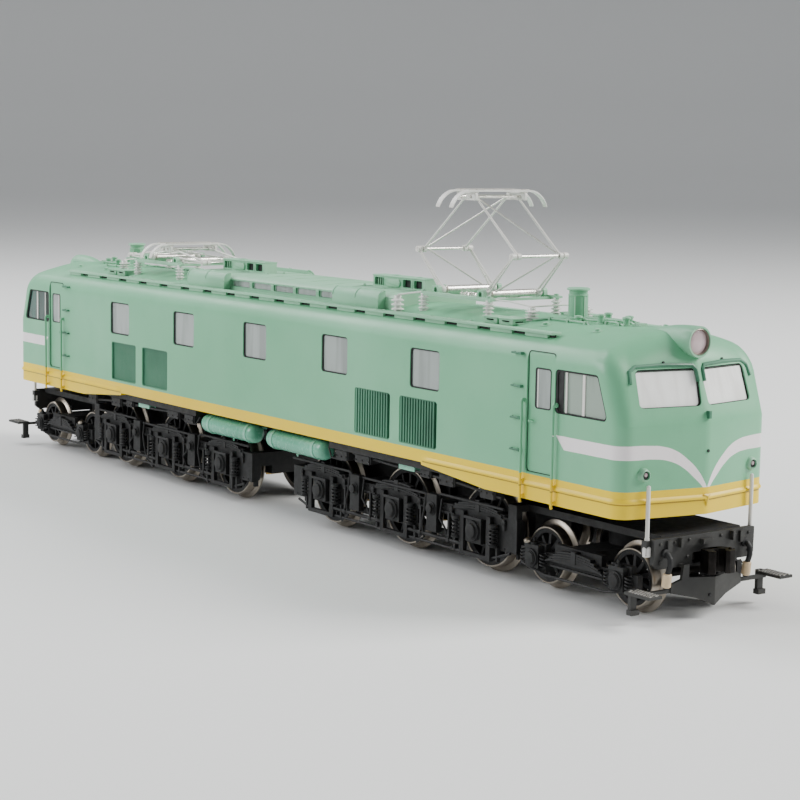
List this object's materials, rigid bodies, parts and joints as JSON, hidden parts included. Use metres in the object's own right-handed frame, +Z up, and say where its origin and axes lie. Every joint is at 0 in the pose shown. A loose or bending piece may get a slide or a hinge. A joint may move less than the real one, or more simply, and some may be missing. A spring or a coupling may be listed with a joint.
{
  "type": "model electric locomotive",
  "caption": "Streamlined model electric locomotive with V-shaped cab noses, two swivelling truck units on driven and guiding axles, and folding roof pantographs.",
  "frame": {"origin": "middle of the locomotive on the surface that its wheel flanges stand on", "axes": "+X to the front nose, +Y to the left side, +Z up; the pictured side is -Y"},
  "size_m": [0.2488, 0.037, 0.072],
  "materials": {
    "green_paint": "satin pale green enamel",
    "filter_green": "satin darker green enamel",
    "clear_panes": "clear moulded panes with pale blinds behind",
    "white_porcelain": "glossy white",
    "black_castings": "matt black, lightly mottled",
    "steel_parts": "bare steel",
    "circuit_board": "green laminate",
    "brass_parts": "machined brass",
    "nickel_wheels": "nickel plated treads",
    "silver_arms": "bright silver white"
  },
  "bodies": {
    "root": {"body_shell": "green_paint", "side_glazing": "clear_panes", "cab_glazing": "clear_panes", "intake_panels": "filter_green", "roof_monitor": "green_paint", "roof_vents": "green_paint", "running_boards": "green_paint", "roof_fittings": "green_paint", "roof_insulators": "white_porcelain", "headlight_housings": "green_paint", "headlight_lenses": "clear_panes", "marker_lamps": "green_paint", "rails_and_steps": "green_paint", "air_tanks": "green_paint", "chassis_plate": "black_castings", "body_screws": "steel_parts", "ballast_weights": "steel_parts", "circuit_board": "circuit_board", "motor_housing": "steel_parts", "pantograph_bases": "green_paint"},
    "rotor": {"motor_rotor": "brass_parts"},
    "cardan_front": {"cardan_front": "black_castings"},
    "unit_front": {"gearbox_front": "black_castings", "unit_frame_front": "black_castings", "end_beam_front": "black_castings"},
    "input_shaft_front": {"input_shaft_front": "brass_parts"},
    "worm_shaft_front": {"worm_shaft_front": "brass_parts"},
    "guide_truck_front": {"guide_frame_front": "black_castings"},
    "coupler_front": {"coupler_front": "black_castings"},
    "cardan_rear": {"cardan_rear": "black_castings"},
    "unit_rear": {"gearbox_rear": "black_castings", "unit_frame_rear": "black_castings", "end_beam_rear": "black_castings"},
    "input_shaft_rear": {"input_shaft_rear": "brass_parts"},
    "worm_shaft_rear": {"worm_shaft_rear": "brass_parts"},
    "guide_truck_rear": {"guide_frame_rear": "black_castings"},
    "coupler_rear": {"coupler_rear": "black_castings"},
    "driving_axle_1": {"driving_wheelset_1": "nickel_wheels"},
    "driving_axle_2": {"driving_wheelset_2": "nickel_wheels"},
    "driving_axle_3": {"driving_wheelset_3": "nickel_wheels"},
    "driving_axle_4": {"driving_wheelset_4": "nickel_wheels"},
    "driving_axle_5": {"driving_wheelset_5": "nickel_wheels"},
    "driving_axle_6": {"driving_wheelset_6": "nickel_wheels"},
    "guide_axle_1": {"guide_wheelset_1": "nickel_wheels"},
    "guide_axle_2": {"guide_wheelset_2": "nickel_wheels"},
    "guide_axle_3": {"guide_wheelset_3": "nickel_wheels"},
    "guide_axle_4": {"guide_wheelset_4": "nickel_wheels"},
    "pan_front_lower_fore": {"pan_front_lower_fore": "silver_arms"},
    "pan_front_lower_aft": {"pan_front_lower_aft": "silver_arms"},
    "pan_front_upper_fore": {"pan_front_upper_fore": "silver_arms"},
    "pan_front_upper_aft": {"pan_front_upper_aft": "silver_arms"},
    "pan_front_head": {"pan_front_head": "silver_arms"},
    "pan_rear_lower_fore": {"pan_rear_lower_fore": "silver_arms"},
    "pan_rear_lower_aft": {"pan_rear_lower_aft": "silver_arms"},
    "pan_rear_upper_fore": {"pan_rear_upper_fore": "silver_arms"},
    "pan_rear_upper_aft": {"pan_rear_upper_aft": "silver_arms"},
    "pan_rear_head": {"pan_rear_head": "silver_arms"}
  },
  "joints": [
    {"name": "motor_spin", "type": "hinge", "parent": "root", "child": "rotor", "pos_m": [0, 0, 0.025], "axis": [1, 0, 0], "continuous": true},
    {"name": "cardan_front_spin", "type": "hinge", "parent": "root", "child": "cardan_front", "pos_m": [0.03, 0, 0.025], "axis": [1, 0, 0], "continuous": true},
    {"name": "unit_front_swivel", "type": "hinge", "parent": "root", "child": "unit_front", "pos_m": [0.046, 0, 0.0194], "axis": [0, 0, 1], "range_deg": [-2, 2]},
    {"name": "input_shaft_front_spin", "type": "hinge", "parent": "unit_front", "child": "input_shaft_front", "pos_m": [0.046, 0, 0.025], "axis": [1, 0, 0], "continuous": true},
    {"name": "worm_shaft_front_spin", "type": "hinge", "parent": "unit_front", "child": "worm_shaft_front", "pos_m": [0.046, 0, 0.0154], "axis": [1, 0, 0], "continuous": true},
    {"name": "guide_truck_front_swivel", "type": "hinge", "parent": "unit_front", "child": "guide_truck_front", "pos_m": [0.1004, 0, 0.0147], "axis": [0, 0, 1], "range_deg": [-3, 3]},
    {"name": "coupler_front_swing", "type": "hinge", "parent": "unit_front", "child": "coupler_front", "pos_m": [0.1164, 0, 0.0102], "axis": [0, 0, 1], "range_deg": [-8, 8]},
    {"name": "cardan_rear_spin", "type": "hinge", "parent": "root", "child": "cardan_rear", "pos_m": [-0.03, 0, 0.025], "axis": [1, 0, 0], "continuous": true},
    {"name": "unit_rear_swivel", "type": "hinge", "parent": "root", "child": "unit_rear", "pos_m": [-0.046, 0, 0.0194], "axis": [0, 0, 1], "range_deg": [-2, 2]},
    {"name": "input_shaft_rear_spin", "type": "hinge", "parent": "unit_rear", "child": "input_shaft_rear", "pos_m": [-0.046, 0, 0.025], "axis": [1, 0, 0], "continuous": true},
    {"name": "worm_shaft_rear_spin", "type": "hinge", "parent": "unit_rear", "child": "worm_shaft_rear", "pos_m": [-0.046, 0, 0.0154], "axis": [1, 0, 0], "continuous": true},
    {"name": "guide_truck_rear_swivel", "type": "hinge", "parent": "unit_rear", "child": "guide_truck_rear", "pos_m": [-0.1004, 0, 0.0147], "axis": [0, 0, 1], "range_deg": [-3, 3]},
    {"name": "coupler_rear_swing", "type": "hinge", "parent": "unit_rear", "child": "coupler_rear", "pos_m": [-0.1164, 0, 0.0102], "axis": [0, 0, 1], "range_deg": [-8, 8]},
    {"name": "driving_axle_1_spin", "type": "hinge", "parent": "unit_front", "child": "driving_axle_1", "pos_m": [0.072, 0, 0.0088], "axis": [0, 1, 0], "continuous": true},
    {"name": "driving_axle_2_spin", "type": "hinge", "parent": "unit_front", "child": "driving_axle_2", "pos_m": [0.046, 0, 0.0088], "axis": [0, 1, 0], "continuous": true},
    {"name": "driving_axle_3_spin", "type": "hinge", "parent": "unit_front", "child": "driving_axle_3", "pos_m": [0.02, 0, 0.0088], "axis": [0, 1, 0], "continuous": true},
    {"name": "driving_axle_4_spin", "type": "hinge", "parent": "unit_rear", "child": "driving_axle_4", "pos_m": [-0.02, 0, 0.0088], "axis": [0, 1, 0], "continuous": true},
    {"name": "driving_axle_5_spin", "type": "hinge", "parent": "unit_rear", "child": "driving_axle_5", "pos_m": [-0.046, 0, 0.0088], "axis": [0, 1, 0], "continuous": true},
    {"name": "driving_axle_6_spin", "type": "hinge", "parent": "unit_rear", "child": "driving_axle_6", "pos_m": [-0.072, 0, 0.0088], "axis": [0, 1, 0], "continuous": true},
    {"name": "guide_axle_1_spin", "type": "hinge", "parent": "guide_truck_front", "child": "guide_axle_1", "pos_m": [0.11165, 0, 0.00637], "axis": [0, 1, 0], "continuous": true},
    {"name": "guide_axle_2_spin", "type": "hinge", "parent": "guide_truck_front", "child": "guide_axle_2", "pos_m": [0.08915, 0, 0.00637], "axis": [0, 1, 0], "continuous": true},
    {"name": "guide_axle_3_spin", "type": "hinge", "parent": "guide_truck_rear", "child": "guide_axle_3", "pos_m": [-0.08915, 0, 0.00637], "axis": [0, 1, 0], "continuous": true},
    {"name": "guide_axle_4_spin", "type": "hinge", "parent": "guide_truck_rear", "child": "guide_axle_4", "pos_m": [-0.11165, 0, 0.00637], "axis": [0, 1, 0], "continuous": true},
    {"name": "pan_front_raise", "type": "hinge", "parent": "root", "child": "pan_front_lower_fore", "pos_m": [0.0652, 0, 0.0522], "axis": [0, -1, 0], "range_deg": [-44.26, 6]},
    {"name": "pan_front_lower_aft_turn", "type": "hinge", "parent": "root", "child": "pan_front_lower_aft", "pos_m": [0.0512, 0, 0.0522], "axis": [0, 1, 0], "range_deg": [-44.76, 6.5]},
    {"name": "pan_front_upper_fore_turn", "type": "hinge", "parent": "pan_front_lower_fore", "child": "pan_front_upper_fore", "pos_m": [0.0729, 0, 0.0597], "axis": [0, 1, 0], "range_deg": [-76.06, 10.74]},
    {"name": "pan_front_upper_aft_turn", "type": "hinge", "parent": "pan_front_lower_aft", "child": "pan_front_upper_aft", "pos_m": [0.0435, 0, 0.0597], "axis": [0, -1, 0], "range_deg": [-76.06, 10.74]},
    {"name": "pan_front_head_turn", "type": "hinge", "parent": "pan_front_upper_fore", "child": "pan_front_head", "pos_m": [0.05971, 0, 0.0705], "axis": [0, -1, 0], "range_deg": [-31.8, 4.74]},
    {"name": "pan_rear_raise", "type": "hinge", "parent": "root", "child": "pan_rear_lower_fore", "pos_m": [-0.0512, 0, 0.0522], "axis": [0, -1, 0], "range_deg": [0, 50.26]},
    {"name": "pan_rear_lower_aft_turn", "type": "hinge", "parent": "root", "child": "pan_rear_lower_aft", "pos_m": [-0.0652, 0, 0.0522], "axis": [0, 1, 0], "range_deg": [0, 50.76]},
    {"name": "pan_rear_upper_fore_turn", "type": "hinge", "parent": "pan_rear_lower_fore", "child": "pan_rear_upper_fore", "pos_m": [-0.04045, 0, 0.0522], "axis": [0, 1, 0], "range_deg": [0, 86.3]},
    {"name": "pan_rear_upper_aft_turn", "type": "hinge", "parent": "pan_rear_lower_aft", "child": "pan_rear_upper_aft", "pos_m": [-0.07595, 0, 0.0522], "axis": [0, -1, 0], "range_deg": [0, 86.3]},
    {"name": "pan_rear_head_turn", "type": "hinge", "parent": "pan_rear_upper_fore", "child": "pan_rear_head", "pos_m": [-0.05733, 0, 0.05457], "axis": [0, -1, 0], "range_deg": [0, 36.04]}
  ],
  "couplings": [
    {"joint": "cardan_front_spin", "follows": "motor_spin", "ratio": 1},
    {"joint": "input_shaft_front_spin", "follows": "motor_spin", "ratio": 1},
    {"joint": "worm_shaft_front_spin", "follows": "motor_spin", "ratio": -1},
    {"joint": "cardan_rear_spin", "follows": "motor_spin", "ratio": 1},
    {"joint": "input_shaft_rear_spin", "follows": "motor_spin", "ratio": 1},
    {"joint": "worm_shaft_rear_spin", "follows": "motor_spin", "ratio": -1},
    {"joint": "driving_axle_1_spin", "follows": "motor_spin", "ratio": 0.05},
    {"joint": "driving_axle_2_spin", "follows": "motor_spin", "ratio": 0.05},
    {"joint": "driving_axle_3_spin", "follows": "motor_spin", "ratio": 0.05},
    {"joint": "driving_axle_4_spin", "follows": "motor_spin", "ratio": 0.05},
    {"joint": "driving_axle_5_spin", "follows": "motor_spin", "ratio": 0.05},
    {"joint": "driving_axle_6_spin", "follows": "motor_spin", "ratio": 0.05},
    {"joint": "pan_front_lower_aft_turn", "follows": "pan_front_raise", "ratio": 1},
    {"joint": "pan_front_upper_fore_turn", "follows": "pan_front_raise", "ratio": 1.7072},
    {"joint": "pan_front_upper_aft_turn", "follows": "pan_front_raise", "ratio": 1.7072},
    {"joint": "pan_front_head_turn", "follows": "pan_front_raise", "ratio": 0.70718},
    {"joint": "pan_rear_lower_aft_turn", "follows": "pan_rear_raise", "ratio": 1},
    {"joint": "pan_rear_upper_fore_turn", "follows": "pan_rear_raise", "ratio": 1.7072},
    {"joint": "pan_rear_upper_aft_turn", "follows": "pan_rear_raise", "ratio": 1.7072},
    {"joint": "pan_rear_head_turn", "follows": "pan_rear_raise", "ratio": 0.70718}
  ]
}
